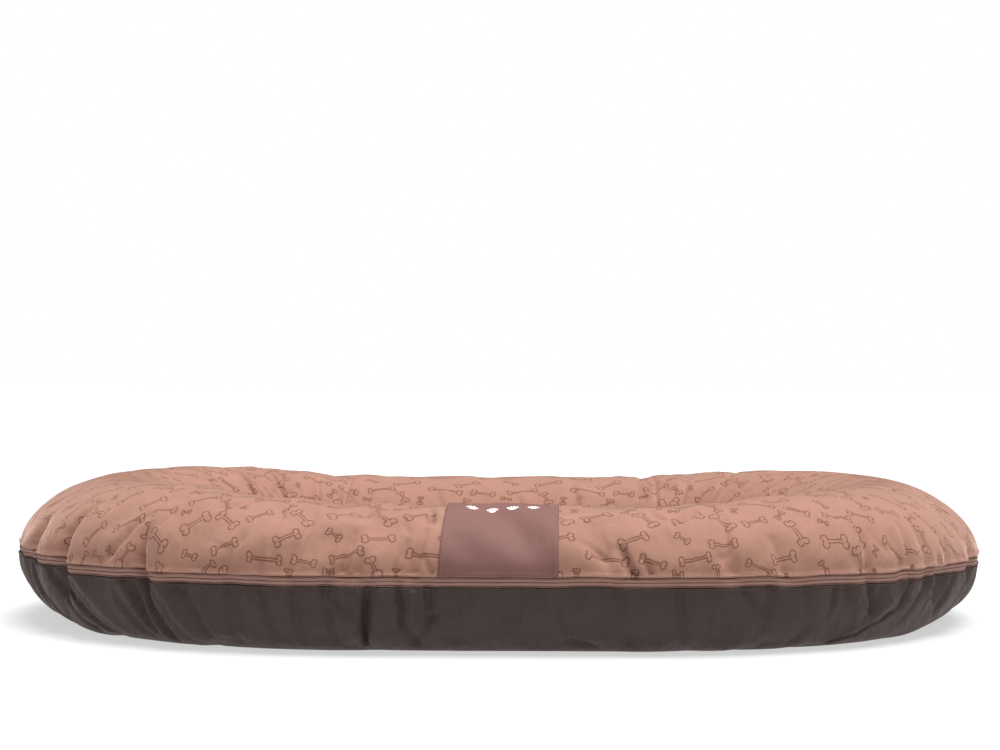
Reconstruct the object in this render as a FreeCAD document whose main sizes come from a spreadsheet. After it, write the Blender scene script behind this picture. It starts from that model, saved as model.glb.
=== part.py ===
# Oval pet cushion bed: a stuffed rim round a shallow sleeping hollow, inside a
# removable cover whose printed top and plain base are joined by a zip.
# Millimetres. Origin on the floor under the middle, +X along the length, +Z up.
import FreeCAD
import Part
import Sketcher
import math
import os
import re

SIZES = {
    # outline
    "overallLength": 1200,
    "overallDepth": 880,
    "crestHeight": 165,
    "crestInset": 120,
    "flankRadius": 36,
    "rimWidth": 250,
    "seamHeight": 48,
    "crownHeight": 70,
    # cloth
    "coverThick": 1.2,
    "baseThick": 1.5,
    "caseThick": 1.0,
    "layerGap": 0.5,
    "insertInset": 6.5,
    "seamAllowance": 10,
    "bindingThick": 0.8,
    "bindingDrop": 3,
    # label patch
    "labelWidth": 131,
    "labelThick": 0.8,
    # zip
    "zipHeight": 82,
    "zipBand": 14,
    "tapeWidth": 30,
    "tapeThick": 1.0,
    "tapeGap": 1.0,
    "tapeFlat": 5.2,
    "tapeSlope": 1.4,
    "tapeStep": 2.6,
    "coilDiameter": 2.6,
    "coilGap": 0.3,
    "stopLength": 2.8,
    "stopWeb": 0.25,
    "stopHeight": 3.2,
    # slider
    "runClearance": 0.3,
    "sliderLength": 12,
    "sliderNose": 4.8,
    "sliderTail": 4.0,
    "plateThick": 1.2,
    "wallThick": 0.5,
    "webThick": 0.4,
    "webLength": 5,
    "homeMargin": 20,
    "earLength": 3.2,
    "earThick": 1.0,
    "earRise": 3.4,
    "pinRise": 2.0,
    "pinRadius": 0.8,
    # puller
    "pinClearance": 0.07,
    "eyeRadius": 1.7,
    "eyeWidth": 3.8,
    "neckLength": 5,
    "pullLength": 26,
    "pullWidth": 7,
    "pullThick": 1.4,
    "pullCorner": 2,
    "windowLength": 11,
    "windowWidth": 2.6,
}

doc = FreeCAD.newDocument("PetCushionBed")
sheet = doc.addObject("Spreadsheet::Sheet", "Sizes")
for row, (alias, value) in enumerate(SIZES.items(), start=1):
    sheet.set(f"A{row}", alias)
    sheet.set(f"B{row}", str(value))
    sheet.setAlias(f"B{row}", alias)
doc.recompute()

# ---- derived sizes, each an expression on the sheet ----
halfDepth = "(overallDepth / 2)"
straight = "(overallLength - overallDepth)"
zipTop = "(zipHeight + zipBand / 2)"
zipBottom = "(zipHeight - zipBand / 2)"
crestLine = f"({halfDepth} - crestInset)"
rise = f"(crestHeight - {zipTop})"
fall = "(crestHeight - seamHeight)"
# the outer flank and the crown are two arcs that meet tangent
crownRadius = f"(((crestInset - flankRadius)^2 + {rise}^2 - flankRadius^2) / (2 * ({rise} - flankRadius)))"
# the inner slope is one arc from the crest down to the seam
slopeRadius = f"(((rimWidth - crestInset)^2 + {fall}^2) / (2 * {fall}))"
seamLine = f"({halfDepth} - rimWidth)"
centreEdge = f"({seamLine} - layerGap)"
domeRise = "(crownHeight - seamHeight)"
tapeInner = "(tapeThick + coilGap)"
coilInner = f"({tapeInner} + coilDiameter)"
plateBack = f"({coilInner} + runClearance)"
pinReach = "(runClearance + plateThick + pinRise)"
sliderHome = f"(homeMargin - {straight} / 2)"


def onSheet(text):
    """The expression with every alias pointing at the sheet."""
    return re.sub(r"[A-Za-z]+", lambda word: f"Sizes.{word[0]}" if word[0] in SIZES else word[0], text)


def number(text):
    """What an expression on the sheet comes to."""
    return float(sheet.evalExpression(onSheet(text)))


# ---- sketching ----
# A path is points and the edges between them in turn: [point, edge, point, ...].
# A point is two expressions, an edge is None for a line or (radius, turn) for an
# arc, with turn +1 where it bends left.

def turnedBack(path):
    """The same path walked from its end."""
    back = path[::-1]
    return [(item[0], -item[1]) if i % 2 and item else item for i, item in enumerate(back)]


def arcMiddle(start, end, radius, turn):
    """The point half way along the shorter arc from start to end."""
    chord = end - start
    half = chord.Length / 2
    toCentre = FreeCAD.Vector(-chord.y, chord.x, 0).normalize() * turn
    height = math.sqrt(max(radius ** 2 - half ** 2, 0))
    return (start + end) * 0.5 + toCentre * (height - radius)


def holdAt(sketch, geometry, end, point):
    """Ties a point of the sketch to its two expressions."""
    for kind, axis, text in (("DistanceX", -2, point[0]), ("DistanceY", -1, point[1])):
        if text == "0":
            sketch.addConstraint(Sketcher.Constraint("PointOnObject", geometry, end, axis))
        else:
            held = sketch.addConstraint(Sketcher.Constraint(kind, -1, 1, geometry, end, number(text)))
            sketch.setExpression(f"Constraints[{held}]", onSheet(text))


def drawLoop(sketch, path):
    """Adds a closed outline whose corners and radii are tied to the sheet."""
    corners = path[0::2]
    edges = path[1::2] + [None]
    places = [FreeCAD.Vector(number(x), number(y), 0) for x, y in corners]
    joints = []
    for i, edge in enumerate(edges):
        start = places[i]
        end = places[(i + 1) % len(places)]
        if edge is None:
            index = sketch.addGeometry(Part.LineSegment(start, end))
            joints.append((index, 1, 2))
            continue
        radius, turn = edge
        middle = arcMiddle(start, end, number(radius), turn)
        index = sketch.addGeometry(Part.Arc(start, middle, end))
        joints.append((index, 1, 2) if turn > 0 else (index, 2, 1))
        held = sketch.addConstraint(Sketcher.Constraint("Radius", index, number(radius)))
        sketch.setExpression(f"Constraints[{held}]", onSheet(radius))
    for i, (index, first, last) in enumerate(joints):
        after = joints[(i + 1) % len(joints)]
        sketch.addConstraint(Sketcher.Constraint("Coincident", index, last, after[0], after[1]))
        holdAt(sketch, index, first, corners[i])


def drawCircle(sketch, centre, radius):
    """Adds a circle tied to the sheet."""
    place = FreeCAD.Vector(number(centre[0]), number(centre[1]), 0)
    index = sketch.addGeometry(Part.Circle(place, FreeCAD.Vector(0, 0, 1), number(radius)))
    held = sketch.addConstraint(Sketcher.Constraint("Radius", index, number(radius)))
    sketch.setExpression(f"Constraints[{held}]", onSheet(radius))
    holdAt(sketch, index, 3, centre)


def box(x0, x1, y0, y1):
    """The path of a rectangle."""
    return [(x0, y0), None, (x1, y0), None, (x1, y1), None, (x0, y1)]


# ---- bodies ----

def newBody(label):
    body = doc.addObject("PartDesign::Body", label)
    body.Label = label
    return body


def originPlane(body, role):
    return next(item for item in body.Origin.OriginFeatures if item.Role == role)


def newSketch(body, name, role, loops=(), circles=(), lift="0"):
    """A sketch on an origin plane of its body, lifted off it by an expression."""
    sketch = body.newObject("Sketcher::SketchObject", name)
    sketch.AttachmentSupport = (originPlane(body, role), [""])
    sketch.MapMode = "FlatFace"
    sketch.setExpression("AttachmentOffset.Base.z", onSheet(lift))
    for path in loops:
        drawLoop(sketch, path)
    for centre, radius in circles:
        drawCircle(sketch, centre, radius)
    doc.recompute()
    return sketch


def addPad(body, sketch, length, both=False, back=False):
    pad = body.newObject("PartDesign::Pad", f"{sketch.Label}_pad")
    pad.Profile = sketch
    pad.setExpression("Length", onSheet(length))
    pad.Midplane = both
    pad.Reversed = back
    body.Tip = pad
    doc.recompute()
    return pad


def addPocket(body, sketch, length):
    """Cuts the sketch into the body to both sides, and makes sure that it did."""
    before = body.Shape.Volume
    pocket = body.newObject("PartDesign::Pocket", f"{sketch.Label}_pocket")
    pocket.Profile = sketch
    pocket.setExpression("Length", onSheet(length))
    pocket.Midplane = True
    body.Tip = pocket
    doc.recompute()
    if body.Shape.Volume > before - 0.01:
        raise RuntimeError(f"{sketch.Label} cut nothing from {body.Label}")
    return pocket


def addMirror(body, feature, role):
    mirror = body.newObject("PartDesign::Mirrored", f"{feature.Label}_mirrored")
    mirror.Originals = [feature]
    mirror.MirrorPlane = (originPlane(body, role), [""])
    body.Tip = mirror
    doc.recompute()


def racetrack(label, loops=(), circles=()):
    """A section carried round the whole outline of the bed.

    The section lies at the right end of the back run, its first coordinate the
    distance from the middle line: the run is padded, the end is revolved, and
    both are mirrored to close the track.
    """
    body = newBody(label)
    sketch = newSketch(body, f"{label}_section", "YZ_Plane", loops, circles, lift=f"{straight} / 2")
    run = addPad(body, sketch, straight, back=True)
    end = body.newObject("PartDesign::Revolution", f"{label}_end")
    end.Profile = sketch
    end.ReferenceAxis = (sketch, ["V_Axis"])
    end.Angle = 180
    end.Reversed = True
    body.Tip = end
    doc.recompute()
    addMirror(body, run, "XZ_Plane")
    addMirror(body, end, "YZ_Plane")
    return body


# ---- section paths ----

def skin(inset):
    """From the zip up over the crest and down to the seam, inset from the outside."""
    meet = f"(({crownRadius} - {inset}) / ({crownRadius} - flankRadius))"
    meetLine = f"{crestLine} + (crestInset - flankRadius) * {meet}"
    meetHeight = f"crestHeight - {crownRadius} + ({crownRadius} - {rise}) * {meet}"
    return [
        (f"{halfDepth} - {inset}", zipTop),
        (f"flankRadius - {inset}", 1),
        (meetLine, meetHeight),
        (f"{crownRadius} - {inset}", 1),
        (crestLine, f"crestHeight - {inset}"),
        (f"{slopeRadius} - {inset}", 1),
        (seamReach(inset), "seamHeight"),
    ]


def seamReach(inset):
    """Where the inner slope, inset from the outside, comes down to the seam."""
    return f"({crestLine} - sqrt(({slopeRadius} - {inset})^2 - ({slopeRadius} - {fall})^2))"


def dome(edge, height, drop):
    """The crowned top of the middle, from its edge to the middle line."""
    radius = f"({edge}^2 + {domeRise}^2) / (2 * {domeRise})"
    return [(edge, f"{height} - {drop}"), (radius, 1), ("0", f"crownHeight - {drop}")]


def rimInsert(inset, floor):
    """The closed outline of what fills the rim, clear of the zip and the seam."""
    bend = f"({zipBottom} - ({floor}))"
    wall = seamReach(inset)
    foot = [
        (wall, floor),
        None,
        (f"{halfDepth} - {inset} - {bend}", floor),
        (bend, 1),
        (f"{halfDepth} - {inset}", zipBottom),
        None,
    ]
    return foot + skin(inset)


def centreInsert(inset, floor):
    """The closed outline of what fills the middle."""
    edge = f"({centreEdge} - coverThick - bindingThick - 3 * layerGap - {inset})"
    drop = f"(coverThick + 3 * layerGap + {inset})"
    return [("0", floor), None, (edge, floor), None] + dome(edge, "seamHeight", drop)


def tapePath(side):
    """One zip tape: flat beside the coil, then stepped in behind the cover."""
    def place(depth, reach):
        return (f"{halfDepth} - {depth}", f"zipHeight + {side} * ({reach})")
    slopeEnd = "tapeFlat + tapeSlope"
    return [
        place("0", "tapeGap / 2"), None,
        place("0", "tapeFlat"), None,
        place("tapeStep", slopeEnd), None,
        place("tapeStep", "tapeWidth / 2"), None,
        place("(tapeStep + tapeThick)", "tapeWidth / 2"), None,
        place("(tapeStep + tapeThick)", slopeEnd), None,
        place("tapeThick", "tapeFlat"), None,
        place("tapeThick", "tapeGap / 2"),
    ]


# ---- cover ----

def rimCover():
    """The printed panel over the rim, its inner edge turned down into the seam."""
    foot = "seamHeight - seamAllowance"
    outer = skin("0") + [None, (seamReach("0"), foot)]
    inner = skin("coverThick") + [None, (seamReach("coverThick"), foot)]
    racetrack("rim_cover", [outer + [None] + turnedBack(inner)])


def centreCover():
    """The printed panel of the sleeping hollow, its edge turned down beside the rim's."""
    foot = "seamHeight - seamAllowance"
    under = f"({centreEdge} - coverThick)"
    outer = [(centreEdge, foot), None] + dome(centreEdge, "seamHeight", "0")
    inner = [(under, foot), None] + dome(under, "seamHeight", "coverThick")
    racetrack("centre_cover", [outer + [None] + turnedBack(inner)])


def baseCover():
    """The plain panel under the bed: flat on the floor and rounded up to the zip."""
    flat = f"{halfDepth} - {zipBottom}"
    path = [
        ("0", "0"), None,
        (flat, "0"), (zipBottom, 1),
        (halfDepth, zipBottom), None,
        (f"{halfDepth} - baseThick", zipBottom), (f"{zipBottom} - baseThick", -1),
        (flat, "baseThick"), None,
        ("0", "baseThick"),
    ]
    racetrack("base_cover", [path])


def seamBinding():
    """The tape folded under both turned-down edges of the inner seam."""
    left = f"{centreEdge} - coverThick - layerGap"
    right = f"{seamReach('coverThick')} + layerGap"
    top = "seamHeight - bindingDrop"
    bottom = "seamHeight - seamAllowance - layerGap"
    path = [
        (left, top), None,
        (f"{left} - bindingThick", top), None,
        (f"{left} - bindingThick", f"{bottom} - bindingThick"), None,
        (f"{right} + bindingThick", f"{bottom} - bindingThick"), None,
        (f"{right} + bindingThick", top), None,
        (right, top), None,
        (right, bottom), None,
        (left, bottom),
    ]
    racetrack("seam_binding", [path])


def labelPatch():
    """The plain patch sewn on the front, from the zip to the crest."""
    body = newBody("label_patch")
    near = skin("(-layerGap)")[:5]
    far = skin("(-layerGap - labelThick)")[:5]
    sketch = newSketch(body, "label_patch_section", "YZ_Plane", [near + [None] + turnedBack(far)])
    addPad(body, sketch, "labelWidth", both=True)
    # the sketch stands on the back run, so the patch is turned round to the front
    body.Placement = FreeCAD.Placement(FreeCAD.Vector(), FreeCAD.Rotation(FreeCAD.Vector(0, 0, 1), 180))


# ---- filling ----

def inserts():
    """A fibre-filled casing in the rim and one in the middle."""
    floor = "baseThick + layerGap"
    inner = f"{floor} + caseThick"
    core = f"{inner} + layerGap"
    racetrack("rim_case", [rimInsert("insertInset", floor), rimInsert("(insertInset + caseThick)", inner)])
    racetrack("rim_filling", [rimInsert("(insertInset + caseThick + layerGap)", core)])
    # the middle's two outlines meet at the middle line, so they make one strip
    outline = centreInsert("0", floor) + [None] + turnedBack(centreInsert("caseThick", inner))
    racetrack("centre_case", [outline])
    racetrack("centre_filling", [centreInsert("(caseThick + layerGap)", core)])


# ---- zip ----

def zipChain():
    """Two tapes and their coils, with a narrow gap between them."""
    for name, side in (("upper", 1), ("lower", -1)):
        racetrack(f"zip_tape_{name}", [tapePath(side)])
        centre = (
            f"{halfDepth} - {tapeInner} - coilDiameter / 2",
            f"zipHeight + {side} * (tapeGap / 2 + coilDiameter / 2)",
        )
        racetrack(f"zip_coil_{name}", circles=[(centre, "coilDiameter / 2")])


def stopPath(side):
    """A metal clip folded over the edge of one tape and its coil."""
    def place(depth, reach):
        return (f"{halfDepth} - ({depth})", f"zipHeight + {side} * ({reach})")
    web = "runClearance / 4"
    return [
        place("-runClearance - plateThick / 2", web), None,
        place("-runClearance - plateThick / 2", "stopHeight"), None,
        place("-runClearance", "stopHeight"), None,
        place("-runClearance", f"{web} + stopWeb"), None,
        place(plateBack, f"{web} + stopWeb"), None,
        place(plateBack, "stopHeight"), None,
        place(f"{plateBack} + plateThick / 2", "stopHeight"), None,
        place(f"{plateBack} + plateThick / 2", web),
    ]


def zipStops():
    """The top stops that the slider comes home to, and the bottom stop beyond them."""
    body = newBody("zip_top_stops")
    body.AllowCompound = True
    start = f"{sliderHome} - sliderLength / 2 - runClearance"
    sketch = newSketch(body, "top_stops", "YZ_Plane", [stopPath(1), stopPath(-1)], lift=start)
    addPad(body, sketch, "stopLength", back=True)
    body = newBody("zip_bottom_stop")
    start = f"{start} - 2 * stopLength"
    web = "stopWeb"
    near = f"{halfDepth} + runClearance"
    far = f"{halfDepth} - {plateBack}"
    path = [
        (near, web), None, (near, "stopHeight"), None,
        (f"{near} + plateThick / 2", "stopHeight"), None,
        (f"{near} + plateThick / 2", "-stopHeight"), None,
        (near, "-stopHeight"), None, (near, f"-{web}"), None,
        (far, f"-{web}"), None, (far, "-stopHeight"), None,
        (f"{far} - plateThick / 2", "-stopHeight"), None,
        (f"{far} - plateThick / 2", "stopHeight"), None,
        (far, "stopHeight"), None, (far, web),
    ]
    path = [(item[0], f"zipHeight + ({item[1]})") if item else None for item in path]
    sketch = newSketch(body, "bottom_stop", "YZ_Plane", [path], lift=start)
    addPad(body, sketch, "stopLength", back=True)


def atSlider(body):
    """Stands a body made about the slider's own middle at the closed end of the zip."""
    for axis, text in (("x", sliderHome), ("y", halfDepth), ("z", "zipHeight")):
        body.setExpression(f"Placement.Base.{axis}", onSheet(text))


def sliderPlate(body, name, front, thick):
    """One shield-shaped plate of the slider, wide at the nose and narrower at the tail."""
    nose = "-sliderLength / 2"
    shoulder = "-sliderLength / 6"
    tail = "sliderLength / 2"
    path = [
        (nose, "-sliderNose"), None, (shoulder, "-sliderNose"), None, (tail, "-sliderTail"), None,
        (tail, "sliderTail"), None, (shoulder, "sliderNose"), None, (nose, "sliderNose"),
    ]
    # the XZ plane faces -Y, so a lift of -front puts the plate's face at +front
    sketch = newSketch(body, name, "XZ_Plane", [path], lift=f"-({front})")
    addPad(body, sketch, thick)


def zipSlider():
    """The slider: two plates joined by a web between the coils, and a bridge for the puller."""
    body = newBody("zip_slider")
    outerFace = "runClearance + plateThick"
    sliderPlate(body, "outer_plate", outerFace, "plateThick")
    web = box("-sliderLength / 2", "webLength - sliderLength / 2", "-webThick / 2", "webThick / 2")
    sketch = newSketch(body, "web", "XZ_Plane", [web], lift="-runClearance")
    addPad(body, sketch, f"runClearance + {plateBack}")
    sliderPlate(body, "inner_plate", f"-({plateBack})", "plateThick")
    # side walls of the inner plate keep the coils in; the tapes leave over them
    for side, name in ((1, "upper_wall"), (-1, "lower_wall")):
        near = f"{side} * (sliderTail - wallThick)"
        wall = box("-sliderLength / 2", "sliderLength / 2", near, f"{side} * sliderTail")
        sketch = newSketch(body, name, "XZ_Plane", [wall], lift=tapeInner)
        addPad(body, sketch, f"{plateBack} - {tapeInner}")
    # bridge: two ears and the pin that the puller turns on
    ear = "(eyeWidth / 2 + runClearance)"
    for side, name in ((1, "upper_ear"), (-1, "lower_ear")):
        path = box("-earLength / 2", "earLength / 2", f"{side} * {ear}", f"{side} * ({ear} + earThick)")
        sketch = newSketch(body, name, "XZ_Plane", [path], lift=f"-({outerFace} + earRise)")
        addPad(body, sketch, "earRise")
    sketch = newSketch(body, "pin", "XY_Plane", circles=[(("0", pinReach), "pinRadius")])
    addPad(body, sketch, f"2 * {ear} + earThick", both=True)
    atSlider(body)


def zipPuller():
    """The pull tab: an eye round the slider's pin, a neck and a flat tab with a window."""
    body = newBody("zip_puller")
    sketch = newSketch(body, "eye", "XY_Plane", circles=[(("0", pinReach), "eyeRadius")])
    addPad(body, sketch, "eyeWidth", both=True)
    mouth = "neckLength"
    half = "pullWidth / 2"
    neck = "eyeWidth / 2"
    corner = "pullCorner"
    outline = [
        ("0", f"-{neck}"), None,
        (mouth, f"-{neck}"), None,
        (f"{mouth} + {half} - {neck}", f"-{half}"), None,
        (f"pullLength - {corner}", f"-{half}"), (corner, 1),
        ("pullLength", f"{corner} - {half}"), None,
        ("pullLength", f"{half} - {corner}"), (corner, 1),
        (f"pullLength - {corner}", half), None,
        (f"{mouth} + {half} - {neck}", half), None,
        (mouth, neck), None,
        ("0", neck),
    ]
    sketch = newSketch(body, "tab", "XZ_Plane", [outline], lift=f"-({pinReach} + pullThick / 2)")
    addPad(body, sketch, "pullThick")
    sketch = newSketch(body, "eye_hole", "XY_Plane", circles=[(("0", pinReach), "pinRadius + pinClearance")])
    addPocket(body, sketch, "2 * eyeWidth")
    end = "pullLength - pullWidth / 2"
    start = f"{end} - windowLength"
    window = box(start, end, "-windowWidth / 2", "windowWidth / 2")
    sketch = newSketch(body, "window", "XZ_Plane", [window], lift=f"-({pinReach})")
    addPocket(body, sketch, "2 * pullThick")
    atSlider(body)


rimCover()
centreCover()
baseCover()
seamBinding()
labelPatch()
inserts()
zipChain()
zipStops()
zipSlider()
zipPuller()
doc.recompute()

# ---- checks and files ----
for item in doc.Objects:
    if "Invalid" in item.State or "Error" in item.State:
        raise RuntimeError(f"{item.Label} failed: {item.State}")
bodies = [item for item in doc.Objects if item.isDerivedFrom("PartDesign::Body")]
for body in bodies:
    if body.Shape.isNull() or not body.Shape.isValid():
        raise RuntimeError(f"{body.Label} has no valid shape")

os.makedirs("parts", exist_ok=True)
for body in bodies:
    body.Shape.exportStep(f"parts/{body.Label}.step")
    span = body.Shape.optimalBoundingBox()
    size = f"{span.XLength:.1f} x {span.YLength:.1f} x {span.ZLength:.1f}"
    print(f"{body.Label}: {len(body.Shape.Solids)} solid(s), {body.Shape.Volume / 1000:.1f} cm3, {size}")
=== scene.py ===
import bpy
import math
import numpy as np
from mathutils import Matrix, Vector


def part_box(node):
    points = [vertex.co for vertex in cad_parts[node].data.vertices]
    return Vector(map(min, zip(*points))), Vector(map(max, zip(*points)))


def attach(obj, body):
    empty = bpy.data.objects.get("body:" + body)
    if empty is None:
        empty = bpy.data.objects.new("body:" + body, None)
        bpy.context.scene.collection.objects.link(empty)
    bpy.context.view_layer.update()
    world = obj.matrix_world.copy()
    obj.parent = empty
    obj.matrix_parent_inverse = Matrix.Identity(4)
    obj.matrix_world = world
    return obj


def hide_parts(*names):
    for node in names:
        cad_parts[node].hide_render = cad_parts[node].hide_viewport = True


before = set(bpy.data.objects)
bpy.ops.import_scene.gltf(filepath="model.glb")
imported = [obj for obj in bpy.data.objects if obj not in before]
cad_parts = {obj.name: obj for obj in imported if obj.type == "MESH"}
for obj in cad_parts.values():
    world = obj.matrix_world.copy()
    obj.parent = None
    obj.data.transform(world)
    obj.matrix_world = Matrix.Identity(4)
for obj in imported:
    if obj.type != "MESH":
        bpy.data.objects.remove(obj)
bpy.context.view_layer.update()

scene = bpy.context.scene
rng = np.random.default_rng(11)
mm = 0.001


# small helpers

def hexToLinear(code):
    # an sRGB hex colour as linear RGBA
    parts = [int(code[i:i + 2], 16) / 255 for i in (1, 3, 5)]
    return [p / 12.92 if p <= 0.04045 else ((p + 0.055) / 1.055) ** 2.4 for p in parts] + [1]


def smoothStep(low, high, x):
    t = np.clip((x - low) / (high - low), 0, 1)
    return t * t * (3 - 2 * t)


def unit(v):
    return v / np.maximum(np.linalg.norm(v, axis=-1, keepdims=True), 1e-9)


def deselectAll():
    if bpy.context.object and bpy.context.object.mode != "OBJECT":
        bpy.ops.object.mode_set(mode="OBJECT")
    bpy.ops.object.select_all(action="DESELECT")


# the bed's outline, read from the frame
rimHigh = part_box("rim_cover")[1]
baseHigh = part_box("base_cover")[1]
labelLow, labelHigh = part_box("label_patch")
halfDepth = round(rimHigh[1], 3)
halfRun = round(rimHigh[0], 3) - halfDepth  # the straight stretch each side of the middle
zipBottom = round(baseHigh[2], 4)
zipTop = round(labelLow[2], 3)
outlineLength = 4 * halfRun + 2 * math.pi * halfDepth

cushion = {
    "step": 0.015,  # cloth grid while it is simulated
    "finer": 5,  # each step is split this often afterwards
    "crestSide": 0.1525,  # height of the rim along the sides
    "crestLeft": 0.174,  # and round the ends
    "crestRight": 0.171,
    "crestInset": 0.12,
    "fuller": 4.5,  # mm that the crest is higher along the front
    "fullerFall": 4,  # less by this for each metre to the right
    "liftLeft": 6,  # the zip runs higher at the left end, in mm
    "dropRight": 3,  # and lower at the right end
    "rimWidth": 0.25,
    "seamHeight": 0.048,
    "footInset": 0.054,  # where the base leaves the floor
    "footInsetEnd": 0.095,
    "floorInset": 0.14,
    "crown": 0.070,
    "domeReach": 0.03,
    "flare": 0.6,  # share of the flat cut's extra length round the ends that is gathered in
    "lumps": 30,  # random waves that start the dents
    "lumpHeight": 1.8,
    "pressure": 1.2,
    "frames": 26,
    "keep": 1.0,  # how strongly the simulated dents show
    "keepZip": 0.35,  # and along the zip, which is stiffer
    "broad": 0.05,  # dents broader than this are taken out again, so the bed keeps its size
}

rowCounts = {"floor": 6, "foot": 7, "band": 1, "rim": 24, "dome": 10}
zipRow = rowCounts["floor"] + rowCounts["foot"]
hemRow = zipRow + rowCounts["band"]
seamRow = hemRow + rowCounts["rim"]
rows = seamRow + rowCounts["dome"] + 1


# the bed's grid: columns run round the outline from the middle of the right end by the
# back; rows run from under the bed out to the zip, over the rim and into the hollow
def outlineColumns(times):
    quarter = times * int(round(halfDepth * math.pi / 2 / cushion["step"]))
    run = times * 2 * int(round(halfRun / cushion["step"]))
    right = math.pi / 2 * np.arange(quarter) / quarter
    along = np.arange(run) / run
    left = math.pi / 2 + math.pi * np.arange(2 * quarter) / (2 * quarter)
    angle = np.concatenate([
        right, np.full(run, math.pi / 2), left, np.full(run, 1.5 * math.pi), 1.5 * math.pi + right,
    ])
    centre = np.concatenate([
        np.full(quarter, halfRun), halfRun * (1 - 2 * along), np.full(2 * quarter, -halfRun),
        halfRun * (2 * along - 1), np.full(quarter, halfRun),
    ])
    arc = halfDepth * (angle - math.pi / 2)
    way = arc + halfRun - centre
    leftEnd = centre <= -halfRun + 1e-9
    way[leftEnd] = (arc + 2 * halfRun)[leftEnd]
    front = angle > 1.5 * math.pi - 1e-9
    way[front] = (arc + 3 * halfRun + centre)[front]
    # distance along the zip from the middle of the front, plus to the right
    fromFront = way - (halfDepth * math.pi + 3 * halfRun)
    fromFront = (fromFront + outlineLength / 2) % outlineLength - outlineLength / 2
    return centre, angle, fromFront


def evenPoints(across, height, count):
    along = np.concatenate([[0], np.cumsum(np.hypot(np.diff(across), np.diff(height)))])
    t = np.linspace(0, along[-1], count + 1)
    return np.interp(t, along, across), np.interp(t, along, height)


centreX, outAngle, fromFront = outlineColumns(1)
outX, outY = np.cos(outAngle), np.sin(outAngle)
columns = len(centreX)
edgeX = centreX + outX * halfDepth
atLeft = smoothStep(0.45, 0.59, -edgeX)
atRight = smoothStep(0.22, 0.58, edgeX)


def sectionOf(i):
    # one section of the stuffed bed, as distance from the middle line and height
    c = cushion
    turn = np.linspace(0, math.pi / 2, 60)
    crestX = centreX[i] + outX[i] * (halfDepth - c["crestInset"])
    crestEnd = c["crestLeft"] if crestX < 0 else c["crestRight"]
    crest = c["crestSide"] + (crestEnd - c["crestSide"]) * smoothStep(0.15, 0.45, abs(crestX))
    crest += (c["fuller"] - c["fullerFall"] * edgeX[i]) * mm * smoothStep(0.5, 0.95, -outY[i])
    lift = c["liftLeft"] * mm * atLeft[i] - c["dropRight"] * mm * atRight[i]
    bottom, top = zipBottom + lift, zipTop + lift
    atEnd = smoothStep(0.40, 0.60, abs(edgeX[i]))
    footAtEnd = smoothStep(0.49, 0.60, abs(edgeX[i]))
    foot = c["footInset"] + (c["footInsetEnd"] - c["footInset"]) * footAtEnd
    seam = halfDepth - c["rimWidth"]
    inner = halfDepth - c["crestInset"]
    leaner = 1 + 0.16 * atEnd  # the flank is less full round the ends
    rimAcross = np.concatenate([
        halfDepth - c["crestInset"] * (1 - np.cos(turn) ** leaner),
        (inner - (inner - seam) * np.sin(turn))[1:],
    ])
    rimHeight = np.concatenate([
        top + (crest - top) * np.sin(turn) ** leaner,
        (c["seamHeight"] + (crest - c["seamHeight"]) * np.cos(turn))[1:],
    ])
    domeAcross = np.linspace(seam, c["domeReach"], 40)
    domeShare = (1 - (domeAcross / seam) ** 2) ** 0.8
    domeHeight = c["seamHeight"] + (c["crown"] - c["seamHeight"]) * domeShare
    stretches = {
        "floor": (np.array([halfDepth - c["floorInset"], halfDepth - foot]), np.zeros(2)),
        "foot": (halfDepth - foot * (1 - np.sin(turn)), bottom * (1 - np.cos(turn))),
        "band": (np.full(2, halfDepth), np.array([bottom, top])),
        "rim": (rimAcross, rimHeight),
        "dome": (domeAcross, domeHeight),
    }
    across, height = [halfDepth - c["floorInset"]], [0.0]
    for name, outline in stretches.items():
        even = evenPoints(*outline, rowCounts[name])
        across.extend(even[0][1:])
        height.extend(even[1][1:])
    return across, height


sections = [sectionOf(i) for i in range(columns)]
across = np.array([s[0] for s in sections]).T
height = np.array([s[1] for s in sections]).T
drawn = np.stack([centreX + outX * across, outY * across, height], -1)


def cutPattern():
    # the same grid as the cloth was cut: the panels lie flatter, so round the ends their
    # outer edges are longer than the outline that they are gathered to
    step = np.hypot(np.diff(across, axis=0), np.diff(height, axis=0))
    along = np.vstack([np.zeros((1, columns)), np.cumsum(step, 0)])
    cut = across.copy()
    seam = halfDepth - cushion["rimWidth"]
    flatTop = seam + along[seamRow] - along
    cut[hemRow:seamRow + 1] += cushion["flare"] * (flatTop - across)[hemRow:seamRow + 1]
    cut[zipRow] = cut[hemRow]
    flatBase = across[0] + along
    share = (cut[zipRow] - halfDepth) / (flatBase[zipRow] - halfDepth)
    cut[:zipRow] += share * (flatBase - across)[:zipRow]
    rise = np.sqrt(np.maximum(step ** 2 - np.diff(cut, axis=0) ** 2, 0))
    up = np.vstack([np.zeros((1, columns)), np.cumsum(rise, 0)])
    flat = np.where(np.arange(rows)[:, None] <= zipRow, flatBase, flatTop)
    return np.stack([centreX + outX * cut, outY * cut, up], -1), flat


cutShape, flatReach = cutPattern()


def gridFaces(rowCount, columnCount):
    ring = np.arange(columnCount)
    nextOne = (ring + 1) % columnCount
    low = np.arange(rowCount - 1)[:, None] * columnCount
    high = low + columnCount
    return np.stack([low + ring, low + nextOne, high + nextOne, high + ring], -1).reshape(-1, 4)


def tubeFaces(rowCount, columnCount):
    # the last row joins the first again
    return gridFaces(rowCount + 1, columnCount) % (rowCount * columnCount)


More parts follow.
